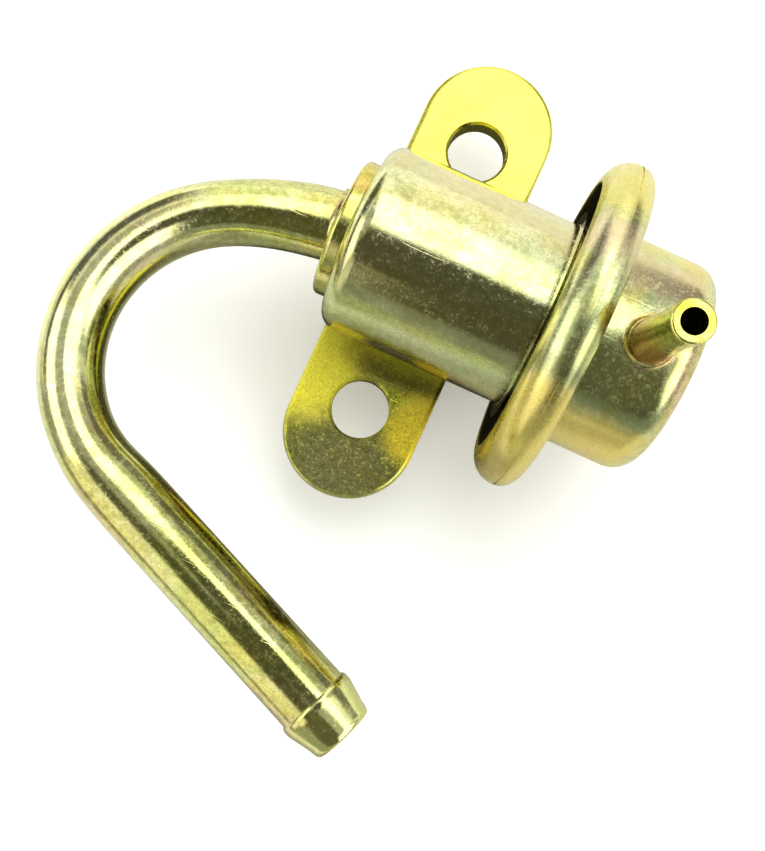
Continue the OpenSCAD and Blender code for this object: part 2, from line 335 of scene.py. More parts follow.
@dataclass(frozen=True)
class Spot:
    """A tint round a point, such as a burnt foot, a rubbed end or a patch of painted light."""

    centre_mm: Triple
    full_mm: float
    none_mm: float
    colour: Colour
    amount: float
    dulling: float = 0.0
    grain: float = 0.0
    roughen: float = 0.0
    grain_mm: float = 0.35
    ragged: float = 0.5
    ragged_mm: float = 1.5

    def share(self, tree: ShaderTree) -> Wire:
        """Gives the tint's share, with a ragged edge and broken up by grain.

        Args:
            tree: the material's tree.

        Returns:
            The wire of the share.
        """
        gaps = [place - middle for place, middle in zip(tree.axes(), self.centre_mm)]
        away = (gaps[0] * gaps[0] + gaps[1] * gaps[1] + gaps[2] * gaps[2]).root()
        sway = (tree.noise(self.ragged_mm, 3.0) - 0.5) * (self.ragged * (self.none_mm - self.full_mm))
        share = (away + sway).ramp(self.none_mm, self.full_mm) * self.amount
        if self.grain > 0.0:
            bare = tree.noise(self.grain_mm, 5.0, rough=0.8).ramp(0.36, 0.70)
            share = share * (1.0 - bare * self.grain)
        return share


@dataclass(frozen=True)
class Stripe:
    """A tint that runs along the body between two places across it, such as a band of painted light and
    shade.
    """

    from_y_mm: float
    to_y_mm: float
    soft_mm: float
    colour: Colour
    amount: float
    dulling: float = 0.0
    roughen: float = 0.0
    end_x_mm: Optional[float] = None
    fade_mm: float = 2.0
    ragged: float = 3.0
    ragged_mm: float = 2.2

    def share(self, tree: ShaderTree) -> Wire:
        """Gives the tint's share, with ragged edges and faded out before an end face.

        Args:
            tree: the material's tree.

        Returns:
            The wire of the share.
        """
        where = tree.stretched((0.5, 1.0, 1.0))
        sway = (tree.noise(self.ragged_mm, 4.0, where) - 0.5) * (self.ragged * self.soft_mm)
        along, across, _ = tree.axes()
        across = across + sway
        begun = across.ramp(self.from_y_mm - self.soft_mm, self.from_y_mm + self.soft_mm)
        ended = across.ramp(self.to_y_mm - self.soft_mm, self.to_y_mm + self.soft_mm)
        share = begun * (1.0 - ended) * self.amount
        if self.end_x_mm is not None:
            share = share * (along + sway).ramp(self.end_x_mm, self.end_x_mm - self.fade_mm)
        return share


@dataclass(frozen=True)
class SpunRim:
    """Streaks round the axis, outside a radius, as a spinning tool leaves them."""

    from_r_mm: float
    full_r_mm: float
    amount: float
    extra_rough: float
    rough_swing: float = 0.3
    streak_mm: float = 0.9
    mm_per_deg: float = 0.03

    def streaks(self, tree: ShaderTree) -> tuple[Wire, Wire]:
        """Gives where the rim is and the streaks on it.

        Args:
            tree: the material's tree.

        Returns:
            The wire of the rim's mask and the wire of the streaks, about 0.5 on average.
        """
        along, radius, angle = tree.round_axis()
        unrolled = {0: along * MM, 1: radius * MM, 2: angle * (self.mm_per_deg * MM)}
        where = tree.node("ShaderNodeCombineXYZ", {}, unrolled)
        return radius.ramp(self.from_r_mm, self.full_r_mm), tree.noise(self.streak_mm, 3.0, where, 0.6)


Tint = Union[Spot, Stripe]


@dataclass(frozen=True)
class ZincFinish(Finish):
    """Yellow chromated zinc plate with clouds of colour, fine grain and rubbed marks."""

    gold: Colour
    pale: Colour
    olive: Colour
    blush: Colour
    green: Colour
    blush_amount: float
    olive_amount: float
    roughness: float = 0.12
    cloud_mm: float = 7.0
    film_stretch: Triple = (0.7, 1.2, 1.0)
    drift_stretch: Triple = (1.0, 1.6, 1.3)
    mottle: Colour = (0.80, 0.79, 0.68)
    sheen: Colour = (1.08, 1.10, 1.03)
    fleck_mm: float = 0.8
    speck_mm: float = 0.30
    frost: float = 0.17
    dust_mm: float = 0.22
    dust_shade: Colour = (0.45, 0.45, 0.42)
    speckle: float = 0.36
    grain_mm: float = 0.18
    grain_depth_mm: float = 0.007
    pit_mm: float = 0.55
    pit_depth_mm: float = 0.007
    peel_mm: float = 1.6
    peel_depth_mm: float = 0.010
    scratch_mm: float = 1.1
    scratch_stretch: Triple = (0.12, 2.2, 2.2)
    scratch_depth_mm: float = 0.012
    hollow_shade: Colour = (0.024, 0.020, 0.012)
    recesses: tuple[Recess, ...] = ()
    tints: tuple[Tint, ...] = ()
    rim: Optional[SpunRim] = None

    def sockets(self, tree: ShaderTree) -> Sockets:
        """Lays the rim, the tints, some of them painted light and shade, and the painted shade of the
        hollows over the film.

        Args:
            tree: the material's tree.

        Returns:
            The shader's values and wires by socket name.
        """
        colour, rough = self._film(tree)
        metal: Union[Wire, float] = 1.0
        if self.rim is not None:
            inside, streaks = self.rim.streaks(tree)
            colour = tree.mix(inside * streaks.ramp(0.48, 0.66) * self.rim.amount, colour, self.olive)
            colour = tree.mix(inside * streaks.ramp(0.46, 0.30) * self.rim.amount, colour, self.blush)
            rough = rough + inside * (self.rim.extra_rough + (streaks - 0.5) * self.rim.rough_swing)
        for tint in self.tints:
            share = tint.share(tree)
            colour = tree.mix(share, colour, tint.colour)
            if tint.dulling > 0.0:
                metal = metal - share * tint.dulling
            if tint.roughen > 0.0:
                rough = rough + share * tint.roughen
        # Painted shade: each hollow darkens the colour, roughens it and takes the metal away.
        for recess in self.recesses:
            shade = recess.depth(tree)
            colour = tree.mix(shade * 0.98, colour, self.hollow_shade)
            rough = rough + shade * 0.5
            metal = metal - shade
        return {
            "Base Color": colour,
            "Metallic": metal.at_least(0.0) if isinstance(metal, Wire) else metal,
            "Specular IOR Level": 0.0,
            "Roughness": rough.at_least(0.08).at_most(0.7),
            "Normal": self._skin(tree),
        }

    def _film(self, tree: ShaderTree) -> tuple[Wire, Wire]:
        """Builds the bare chromate film with its clouds, crystals and dust.

        Args:
            tree: the material's tree.

        Returns:
            The wires of the colour and of the roughness.
        """
        film = tree.noise(self.cloud_mm * 1.2, 3.0, tree.stretched(self.film_stretch))
        drift = tree.noise(self.cloud_mm * 0.45, 4.0, tree.stretched(self.drift_stretch))
        speck = tree.noise(self.speck_mm, 2.0)
        fleck = tree.noise(self.fleck_mm, 4.0, rough=0.7)
        crystal = fleck * 0.5 + speck * 0.5
        stops = (
            (0.32, self.blush),
            (0.42, self.gold),
            (0.52, self.pale),
            (0.60, self.green),
            (0.70, self.gold),
        )
        colour = tree.node("ShaderNodeValToRGB", {"stops": stops}, {"Fac": film})
        colour = tree.mix(drift.ramp(0.50, 0.70) * self.olive_amount, colour, self.olive)
        colour = tree.mix(fleck.ramp(0.56, 0.70) * self.blush_amount, colour, self.blush)
        blotch = tree.mix(fleck.ramp(0.36, 0.62), self.mottle, self.sheen)
        colour = tree.mix(1.0, colour, blotch, "MULTIPLY")
        colour = tree.mix(crystal.ramp(0.60, 0.68) * 0.5, colour, self.pale)
        dust = tree.noise(self.dust_mm, 3.0, rough=0.7).ramp(0.36, 0.64)
        dusted = tree.mix(dust, self.dust_shade, WHITE)
        colour = tree.mix(self.speckle, colour, dusted, "MULTIPLY")
        rough = self.roughness + (drift - 0.5) * 0.12 + (speck - 0.5) * 0.14
        return colour, rough + crystal.ramp(0.50, 0.66) * self.frost

    def _skin(self, tree: ShaderTree) -> Wire:
        """Builds the fine grain, the pits, the soft peel and a few rubbed scratches.

        Args:
            tree: the material's tree.

        Returns:
            The wire of the normal.
        """
        grain = tree.noise(self.grain_mm, 3.0, rough=0.7)
        pits = tree.noise(self.pit_mm, 3.0, rough=0.6)
        peel = tree.noise(self.peel_mm, 2.0)
        scratch = tree.noise(self.scratch_mm, 1.0, tree.stretched(self.scratch_stretch)).ramp(0.66, 0.72)
        normal = tree.bump(grain, 0.7, self.grain_depth_mm)
        normal = tree.bump(pits, 0.7, self.pit_depth_mm, normal)
        normal = tree.bump(peel, 0.5, self.peel_depth_mm, normal)
        return tree.bump(1.0 - scratch, 0.4, self.scratch_depth_mm, normal)


@dataclass(frozen=True)
class SteelFinish(Finish):
    """Plain or turned steel with fine marks."""

    colour: Colour
    roughness: float
    mark_mm: float = 0.35
    mark_depth_mm: float = 0.01
    stain_mm: float = 3.0

    def sockets(self, tree: ShaderTree) -> Sockets:
        """Marks and stains the steel.

        Args:
            tree: the material's tree.

        Returns:
            The shader's values and wires by socket name.
        """
        marks = tree.noise(self.mark_mm, 2.0, tree.stretched((3.0, 0.5, 0.5)))
        stain = tree.noise(self.stain_mm, 3.0)
        stained = tuple(part * 0.7 for part in self.colour)
        return {
            "Base Color": tree.mix(stain.ramp(0.4, 0.75) * 0.4, self.colour, stained),
            "Metallic": 1.0,
            "Roughness": self.roughness + (stain - 0.5) * 0.2,
            "Normal": tree.bump(marks, 0.4, self.mark_depth_mm),
        }


@dataclass(frozen=True)
class RubberFinish(Finish):
    """Moulded rubber, or rubber-coated cloth where a weave is given."""

    colour: Colour
    weave_mm: float = 0.0
    skin_mm: float = 0.8
    relief_mm: float = 0.03
    roughness: float = 0.45

    def sockets(self, tree: ShaderTree) -> Sockets:
        """Wears the skin and weaves the cloth under it.

        Args:
            tree: the material's tree.

        Returns:
            The shader's values and wires by socket name.
        """
        skin = tree.noise(self.skin_mm, 3.0)
        height = skin
        if self.weave_mm > 0.0:
            thread = {"Vector": tree.place(), "Scale": 1.0 / (math.tau * self.weave_mm * MM)}
            warp, weft = (
                tree.node("ShaderNodeTexWave", {"bands_direction": axis}, thread) for axis in "YZ"
            )
            height = warp * 0.5 + weft * 0.5
        worn = tuple(min(1.0, part * 1.7 + 0.01) for part in self.colour)
        return {
            "Base Color": tree.mix(skin.ramp(0.35, 0.7), self.colour, worn),
            "Roughness": self.roughness + (skin - 0.5) * 0.3,
            "Normal": tree.bump(height, 0.5, self.relief_mm),
        }


GOLD_PLATE = ZincFinish(
    "zinc_plate_ears", gold=(0.76, 0.69, 0.06), pale=(0.80, 0.76, 0.15), olive=(0.36, 0.35, 0.06),
    blush=(0.74, 0.60, 0.12), green=(0.66, 0.70, 0.10),
    roughness=0.16, blush_amount=0.25, olive_amount=0.4,
    grain_depth_mm=0.020, speckle=0.55, mottle=(0.66, 0.65, 0.54),
)
HOUSING_ZINC = ZincFinish(
    "zinc_housing", gold=(0.78, 0.76, 0.34), pale=(0.83, 0.83, 0.50), olive=(0.42, 0.43, 0.16),
    blush=(0.82, 0.68, 0.45), green=(0.72, 0.80, 0.46),
    cloud_mm=8.0, blush_amount=0.35, olive_amount=0.35,
)
CAP_ZINC = ZincFinish(
    "zinc_cap", gold=(0.82, 0.76, 0.28), pale=(0.84, 0.83, 0.50), olive=(0.44, 0.46, 0.18),
    blush=(0.90, 0.70, 0.44), green=(0.70, 0.80, 0.42),
    roughness=0.20, cloud_mm=6.0, blush_amount=0.35, olive_amount=0.35,
    film_stretch=(1.6, 0.6, 0.6), speckle=0.45,
)
PIPE_ZINC = ZincFinish(
    "zinc_pipe", gold=(0.80, 0.76, 0.24), pale=(0.84, 0.82, 0.40), olive=(0.40, 0.40, 0.11),
    blush=(0.80, 0.66, 0.38), green=(0.70, 0.76, 0.28),
    roughness=0.11, cloud_mm=6.0, blush_amount=0.35, olive_amount=0.45,
)
NIPPLE_ZINC = ZincFinish(
    "zinc_nipple", gold=(0.82, 0.70, 0.09), pale=(0.86, 0.80, 0.24), olive=(0.40, 0.32, 0.08),
    blush=(0.78, 0.50, 0.14), green=(0.76, 0.76, 0.20),
    roughness=0.14, cloud_mm=5.0, blush_amount=0.3, olive_amount=0.25,
)
WASHER_ZINC = ZincFinish(
    "zinc_washer", gold=(0.80, 0.68, 0.16), pale=(0.82, 0.76, 0.34), olive=(0.38, 0.34, 0.10),
    blush=(0.80, 0.58, 0.22), green=(0.72, 0.72, 0.22),
    roughness=0.15, cloud_mm=4.0, blush_amount=0.35, olive_amount=0.4,
)
BRAZE_ZINC = ZincFinish(
    "zinc_braze", gold=(0.66, 0.54, 0.20), pale=(0.74, 0.68, 0.38), olive=(0.28, 0.24, 0.10),
    blush=(0.64, 0.44, 0.22), green=(0.60, 0.60, 0.26),
    roughness=0.22, cloud_mm=3.0, blush_amount=0.4, olive_amount=0.6, grain_depth_mm=0.02,
)
BRIGHT_STEEL = SteelFinish("turned_steel", (0.72, 0.72, 0.70), 0.22)
PLAIN_STEEL = SteelFinish("pressed_steel", (0.52, 0.52, 0.50), 0.34)
SPRING_STEEL = SteelFinish("spring_wire", (0.46, 0.47, 0.48), 0.28)
SEAL_RUBBER = RubberFinish("seal_rubber", (0.025, 0.025, 0.026))
DIAPHRAGM_CLOTH = RubberFinish("coated_cloth", (0.10, 0.075, 0.05), weave_mm=0.5)


def in_scene(name: str, data: bpy.types.ID) -> bpy.types.Object:
    """Puts a mesh, lamp or camera into the scene.

    Args:
        name: the object's name.
        data: what it shows.

    Returns:
        The new object.
    """
    made = bpy.data.objects.new(name, data)
    bpy.context.scene.collection.objects.link(made)
    return made


def mesh_object(name: str, mesh: bmesh.types.BMesh, finish: Finish) -> bpy.types.Object:
    """Puts a finished shape into the scene.

    Args:
        name: the object's name.
        mesh: its shape in metres; it is freed.
        finish: the finish that it wears.

    Returns:
        The new object.
    """
    data = bpy.data.meshes.new(name)
    mesh.to_mesh(data)
    mesh.free()
    data.materials.append(finish.material())
    return in_scene(name, data)


class SubAssembly:
    """A group of pieces that are dressed together."""

    @staticmethod
    def put_on(finish: Finish, *nodes: str) -> None:
        """Gives CAD nodes one finish.

        Args:
            finish: the finish that they wear.
            nodes: the nodes' names.
        """
        material = finish.material()
        for name in nodes:
            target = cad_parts[name]
            target.data.materials.clear()
            target.data.materials.append(material)
        LOG.info("%s: %s", material.name, ", ".join(nodes))

    @staticmethod
    def adopt(
        mesh: bmesh.types.BMesh, name: str, finish: Finish, slot: Slot, *nodes: str
    ) -> bpy.types.Object:
        """Turns a mesh into a piece of the fixed body that stands for CAD nodes.

        Args:
            mesh: the piece, in metres in the row frame; it is freed.
            name: the piece's name.
            finish: the finish that it wears.
            slot: the record's material slot; not used.
            nodes: the CAD nodes that it stands for.

        Returns:
            The new object.
        """
        bmesh.ops.remove_doubles(mesh, verts=mesh.verts, dist=MERGE_MM * MM)
        bmesh.ops.recalc_face_normals(mesh, faces=mesh.faces)
        made = mesh_object(name, mesh, finish)
        made.data.shade_smooth()
        made.data.set_sharp_from_angle(angle=math.radians(SHARP_DEG))
        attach(made, FIXED_BODY)
        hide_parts(*nodes)
        LOG.info("%s: %d faces", name, len(made.data.polygons))
        return made

    def build(self) -> None:
        """Builds and dresses the pieces."""
        raise NotImplementedError


@dataclass
class FlangePlate(SubAssembly):
    """The plate with two bolt ears."""

    width_mm: float = 16.0
    thick_mm: float = 3.2
    hole_y_mm: float = 17.0
    ear_reach_mm: float = 11.0
    housing_r_mm: float = HOUSING_R_MM

    def finish(self) -> ZincFinish:
        """Paints the housing's shadow on the lower ear along the housing, paints brighter yellow patches of
        light beside its hole and on the upper ear, and greys its end.

        Returns:
            The plate's finish.
        """
        half, top = 0.5 * self.width_mm, self.thick_mm
        lit_upper_ear = (0.0, self.hole_y_mm + 4.0, top)
        lit_patch_left = (-half, -self.hole_y_mm + 1.8, top)
        lit_patch_right = (half, -self.hole_y_mm + 0.2, top)
        worn_end = (0.1 * half, -self.hole_y_mm - 0.75 * self.ear_reach_mm, top)
        return replace(
            GOLD_PLATE,
            tints=(
                # Painted light: the upper ear a brighter yellow, where it catches the light.
                Spot(lit_upper_ear, 9.0, 14.0, (0.84, 0.79, 0.14), 0.7),
                # Painted shadow: the housing's shadow and dark reflection, as an olive band on the lower ear
                # along the housing.
                Stripe(-self.housing_r_mm - 2.6, -self.housing_r_mm + 4.0, 0.5, (0.46, 0.41, 0.08), 0.75),
                Spot(worn_end, 3.0, 10.5, (0.50, 0.48, 0.27), 0.85, dulling=0.28, grain=0.9),
                # Painted light: duller, brighter yellow patches beside the lower hole, where the ear catches
                # the light.
                Spot(lit_patch_right, 3.0, 6.0, (0.98, 0.76, 0.05), 0.9, dulling=0.85, grain=0.5),
                Spot(lit_patch_left, 3.6, 8.4, (1.0, 0.92, 0.08), 1.0, dulling=0.9, grain=0.35),
            ),
        )

    def build(self) -> None:
        """Dresses the plate."""
        self.put_on(self.finish(), "mounting_plate")


@dataclass
class InletSpigot(SubAssembly):
    """The spigot that enters the fuel rail, and its O-ring."""

    length_mm: float = 9.0
    bore_d_mm: float = 5.0

    def finish(self) -> ZincFinish:
        """Darkens the spigot's mouth, where fuel has stained it.

        Returns:
            The spigot's finish.
        """
        mouth = (0.0, 0.0, -self.length_mm)
        stain = Spot(mouth, 0.5 * self.bore_d_mm, self.bore_d_mm, (0.30, 0.24, 0.06), 0.6)
        return replace(GOLD_PLATE, tints=(stain,))

    def build(self) -> None:
        """Dresses the spigot and its seal."""
        self.put_on(self.finish(), "inlet_spigot")
        self.put_on(SEAL_RUBBER, "inlet_o_ring")


@dataclass
class FuelBody(SubAssembly):
    """The drawn housing with the washer at its closed end."""

    radius_mm: float = HOUSING_R_MM
    collar_x_mm: float = 13.9
    gap_x_mm: float = 14.8
    flange_x_mm: float = 15.5

    def finish(self) -> ZincFinish:
        """Paints shade into the gap under the cap's lip and paints bands of light and shade along the
        housing, partly the plating's own tint, darkest on the side that faces the lower ear.

        Returns:
            The housing's finish.
        """
        reach, collar = self.radius_mm, self.collar_x_mm
        return replace(
            HOUSING_ZINC,
            # Painted shade in the gap under the cap's lip and at the collar's step, only at the sides.
            recesses=(
                Recess(self.gap_x_mm, self.flange_x_mm - 0.4, reach + 0.1, reach + 0.8, 0.80 * reach),
                Recess(collar - 0.3, collar - 0.05, reach + 0.04, reach + 0.2, 0.84 * reach),
            ),
            # Partly the plating's own tint and partly painted reflection and shade: darker olive bands on
            # the lower side, a pale green band, brown shade at the edge over the lower ear and a warm pale
            # band on the upper side.
            tints=(
                Stripe(-0.50 * reach, -0.16 * reach, 1.6, (0.52, 0.43, 0.18), 0.40),
                Stripe(-0.72 * reach, -0.34 * reach, 0.9, (0.40, 0.38, 0.16), 0.6),
                Stripe(-0.94 * reach, -0.66 * reach, 1.0, (0.68, 0.75, 0.40), 0.5, roughen=0.3),
                Stripe(-1.20 * reach, -0.96 * reach, 0.3, (0.52, 0.38, 0.16), 0.7),
                Stripe(0.55 * reach, 1.20 * reach, 1.4, (0.84, 0.73, 0.46), 0.5),
            ),
        )

    def build(self) -> None:
        """Dresses the housing, the washer and the filler round the pipe."""
        self.put_on(self.finish(), "fuel_housing")
        self.put_on(WASHER_ZINC, "end_washer")
        self.put_on(BRAZE_ZINC, "pipe_braze")


@dataclass
class CapEnd(SubAssembly):
    """The crimped spring cap with its vacuum nipple."""

    radius_mm: float = 12.1
    lip_x_mm: float = 13.9
    lip_r_mm: float = 15.6
    end_x_mm: float = 30.1
    nipple_x_mm: float = 24.3

    def cap_finish(self) -> ZincFinish:
        """Paints shade inside the lip, spins the rim and paints bands of light and shade, partly the
        plating's own tint, along the cap's two sides.

        Returns:
            The cap's finish.
        """
        reach, end = self.radius_mm, self.end_x_mm - 0.6
        return replace(
            CAP_ZINC,
            # Painted shade inside the lip.
            recesses=(
                Recess(self.lip_x_mm + 3.1, self.lip_x_mm + 2.1, self.lip_r_mm + 0.35, self.lip_r_mm + 0.05),
            ),
            rim=SpunRim(reach - 1.0, reach + 3.0, 0.75, 0.06),
            # Partly the plating's own tint and partly painted reflection and shade, with a dark band on the
            # lower side.
            tints=(
                Stripe(-0.62 * reach, -0.10 * reach, 1.0, (0.58, 0.66, 0.28), 0.5, end_x_mm=end),
                Stripe(-0.66 * reach, -0.52 * reach, 0.6, (0.22, 0.25, 0.10), 0.5, end_x_mm=end),
                Stripe(-1.60 * reach, -0.70 * reach, 1.0, (0.92, 0.74, 0.20), 0.75, end_x_mm=end),
                Stripe(0.40 * reach, 0.74 * reach, 1.2, (0.90, 0.70, 0.46), 0.6, end_x_mm=end),
                Stripe(0.80 * reach, 1.60 * reach, 1.2, (0.92, 0.80, 0.22), 0.65, end_x_mm=end),
            ),
        )

    def nipple_finish(self) -> ZincFinish:
        """Burns the nipple's foot, where it was brazed.

        Returns:
            The nipple's finish.
        """
        foot = (self.nipple_x_mm, 0.0, AXIS_Z_MM + self.radius_mm)
        burn = Spot(foot, 6.0, 11.0, (0.40, 0.19, 0.03), 0.95, dulling=0.3, grain=0.25)
        return replace(NIPPLE_ZINC, tints=(burn,))

    def build(self) -> None:
        """Dresses the cap, the nipple and the filler round its foot."""
        self.put_on(self.cap_finish(), "spring_cap")
        self.put_on(self.nipple_finish(), "vacuum_nipple")
        self.put_on(BRAZE_ZINC, "nipple_braze")


@dataclass
class ValveTrain(SubAssembly):
    """The seat, the valve and the spring inside the body."""

    turned: tuple[str, ...] = ("valve_seat", "valve_holder", "valve_ball")
    pressed: tuple[str, ...] = (
        "diaphragm_washer",
        "valve_plate",
        "spring_plate",
        "spring_seat",
    )
    lift_mm: float = 0.6

    def build(self) -> None:
        """Dresses the hidden pieces."""
        self.put_on(BRIGHT_STEEL, *self.turned)
        self.put_on(PLAIN_STEEL, *self.pressed)
        self.put_on(DIAPHRAGM_CLOTH, "diaphragm")
        self._coil()

    def _coil(self) -> None:
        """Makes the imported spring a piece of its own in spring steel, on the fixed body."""
        wire = bmesh.new()
        wire.from_mesh(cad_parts["main_spring"].data)
        coil = self.adopt(wire, "coil_spring", SPRING_STEEL, Slot.PLAIN, "main_spring")
        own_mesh(coil)


def ease(share: float) -> float:
    """Eases a share from 0 to 1, and holds it there."""
    held = max(0.0, min(1.0, share))
    return held * held * (3.0 - 2.0 * held)


def quarter_turn(steps: int) -> Iterator[tuple[float, float]]:
    """Walks a quarter turn in even steps.

    Args:
        steps: how many steps it takes.

    Returns:
        The sine and the cosine of each angle.
    """
    for i in range(steps + 1):
        turn = math.radians(90.0 * i / steps)
        yield math.sin(turn), math.cos(turn)


@dataclass
class ReturnPipe(SubAssembly):
    """The bent pipe with its hose bead, which the bender has flattened a little.

    It turns flat from a share of its first bend on, and round again over the end of its second.
    """

    pipe_d_mm: float = 8.0
    wall_mm: float = 1.0
    start_x_mm: float = 12.1
    bend_x_mm: float = -6.4
    bend_1_r_mm: float = 32.0
    bend_1_deg: float = 30.0
    bend_2_r_mm: float = 17.4
    bend_2_deg: float = 127.2
    leg_mm: float = 31.5
    roll_deg: float = 7.0
    bead_d_mm: float = 8.6
    bead_len_mm: float = 4.8
    bead_land_mm: float = 1.1
    bead_round_mm: float = 0.5
    bead_steps: int = 6
    tip_d_mm: float = 7.3
    tip_len_mm: float = 1.1
    tip_round_mm: float = 0.45
    tip_steps: int = 5
    mouth_chamfer_mm: float = 0.15
    flatten: float = 0.115
    flat_from: float = 0.3
    round_before_mm: float = 7.0
    round_over_mm: float = 11.0
    bulge: float = 0.5
    step_mm: float = 1.0
    sides: int = 72

    def build(self) -> None:
        """Builds the pipe and dresses it."""
        self.adopt(self._mesh(), "bent_return_pipe", self.finish(), Slot.ZINC, "return_pipe")

    def finish(self) -> ZincFinish:
        """Greens the hose bead and greys the tight bend, where the plating is thin.

        Returns:
            The pipe's finish.
        """
        start, first, second = self._lengths()
        bead = self._place(start + first + second + self.leg_mm + 0.8 * self.bead_len_mm)
        bend = self._place(start + first + 0.45 * second)
        return replace(
            PIPE_ZINC,
            tints=(
                Spot(bend, 9.0, 24.0, (0.80, 0.79, 0.56), 0.3),
                Spot(bead, 4.6, 6.2, (0.84, 0.86, 0.36), 0.6),
            ),
        )

    def _place(self, travelled: float) -> Triple:
        """Gives a place on the pipe's middle line.

        Args:
            travelled: length from the pipe's start in millimetres.

        Returns:
            X, Y and Z in millimetres in the row frame.
        """
        x, y, _ = self._point(travelled)
        roll = math.radians(-self.roll_deg)
        return x, y * math.cos(roll), AXIS_Z_MM + y * math.sin(roll)

    def _lengths(self) -> Triple:
        """Gives the lengths of the straight start and of the two bends, in millimetres."""
        return (
            self.start_x_mm - self.bend_x_mm,
            self.bend_1_r_mm * math.radians(self.bend_1_deg),
            self.bend_2_r_mm * math.radians(self.bend_2_deg),
        )

    def _flatness(self, travelled: float) -> float:
        """Gives how flat the pipe is after some length.

        Args:
            travelled: length from the pipe's start in millimetres.

        Returns:
            The share by which it is narrower in the bend's plane.
        """
        start, first, second = self._lengths()
        rise = ease((travelled - start - self.flat_from * first) / ((1.0 - self.flat_from) * first))
        past = travelled - start - first - second
        fall = 1.0 - ease((past + self.round_before_mm) / self.round_over_mm)
        return self.flatten * rise * fall

    def _point(self, travelled: float) -> Triple:
        """Follows the pipe's path.

        Args:
            travelled: length from the pipe's start in millimetres.

        Returns:
            X and Y in the bend's plane and the heading in radians.
        """
        start, first, second = self._lengths()
        x, y, heading = self.start_x_mm, 0.0, math.pi
        stretches = ((start, 0.0), (first, self.bend_1_r_mm), (second, self.bend_2_r_mm), (math.inf, 0.0))
        for length, radius in stretches:
            go = max(0.0, min(travelled, length))
            travelled -= go
            if radius > 0.0:
                turned = heading + go / radius
                x += radius * (math.sin(turned) - math.sin(heading))
                y += radius * (math.cos(heading) - math.cos(turned))
                heading = turned
            else:
                x += go * math.cos(heading)
                y += go * math.sin(heading)
        return x, y, heading

    def _outline(self) -> Iterator[tuple[float, float]]:
        """Walks out along the outside and back along the bore.

        Returns:
            Length along the path and radius of each ring, in millimetres.
        """
        outer, bead, tip = (wide / 2.0 for wide in (self.pipe_d_mm, self.bead_d_mm, self.tip_d_mm))
        bore = outer - self.wall_mm
        leg_end = sum(self._lengths()) + self.leg_mm
        end = leg_end + self.bead_len_mm
        steps = int(leg_end / self.step_mm)
        for i in range(steps):
            yield leg_end * i / steps, outer
        for rise, run in quarter_turn(self.bead_steps):
            yield leg_end + self.bead_round_mm * (1.0 - run), outer + (bead - outer) * rise
        yield leg_end + self.bead_land_mm, bead
        for rise, run in quarter_turn(self.tip_steps):
            yield end - self.tip_len_mm * (1.0 - rise), tip - self.tip_round_mm * (1.0 - run)
        yield end, bore + self.mouth_chamfer_mm
        yield end - self.mouth_chamfer_mm, bore
        for i in range(steps, -1, -1):
            yield leg_end * i / steps, bore

    def _matrix(self, travelled: float, radius_mm: float) -> Matrix:
        """Places a unit ring on the path.

        Args:
            travelled: length from the pipe's start in millimetres.
            radius_mm: the ring's radius where the pipe is round.

        Returns:
            The ring's matrix, in metres in the row frame.
        """
        x, y, heading = self._point(travelled)
        flat = self._flatness(travelled)
        along = Vector((math.cos(heading), math.sin(heading), 0.0))
        side = Vector((-along.y, along.x, 0.0))
        axes = Matrix((side, Vector((0.0, 0.0, 1.0)), along)).transposed().to_4x4()
        narrow = radius_mm * (1.0 - flat)
        tall = radius_mm * (1.0 + self.bulge * flat)
        size = Matrix.Diagonal((narrow, tall, 1.0, 1.0))
        roll = Matrix.Rotation(math.radians(-self.roll_deg), 4, "X")
        lift = Matrix.Translation((0.0, 0.0, AXIS_Z_MM))
        flat_place = Matrix.Translation((x, y, 0.0))
        return Matrix.Scale(MM, 4) @ lift @ roll @ flat_place @ axes @ size

    def _mesh(self) -> bmesh.types.BMesh:
        """Sweeps a ring out along the pipe and back through its bore.

        Returns:
            The closed mesh of the pipe's wall.
        """
        mesh = bmesh.new()
        ring = bmesh.ops.create_circle(mesh, segments=self.sides, radius=1.0)["verts"]
        edges = list({edge for vertex in ring for edge in vertex.link_edges})
        before = Matrix.Identity(4)
        first: Optional[Matrix] = None
        for travelled, radius in self._outline():
            here = self._matrix(travelled, radius)
            if first is None:
                first = here
            else:
                ring, edges = self._next_ring(mesh, edges)
            bmesh.ops.transform(mesh, matrix=here @ before.inverted(), verts=ring)
            before = here
        ring, _ = self._next_ring(mesh, edges)
        bmesh.ops.transform(mesh, matrix=first @ before.inverted(), verts=ring)
        return mesh

    @staticmethod
    def _next_ring(
        mesh: bmesh.types.BMesh, edges: Sequence[bmesh.types.BMEdge]
    ) -> tuple[list[bmesh.types.BMVert], list[bmesh.types.BMEdge]]:
        """Extrudes a ring of edges in place.

        Args:
            mesh: the mesh.
            edges: the ring's edges.

        Returns:
            The new ring's vertices and edges.
        """
        made = bmesh.ops.extrude_edge_only(mesh, edges=edges)["geom"]
        return (
            [part for part in made if isinstance(part, bmesh.types.BMVert)],
            [part for part in made if isinstance(part, bmesh.types.BMEdge)],
        )


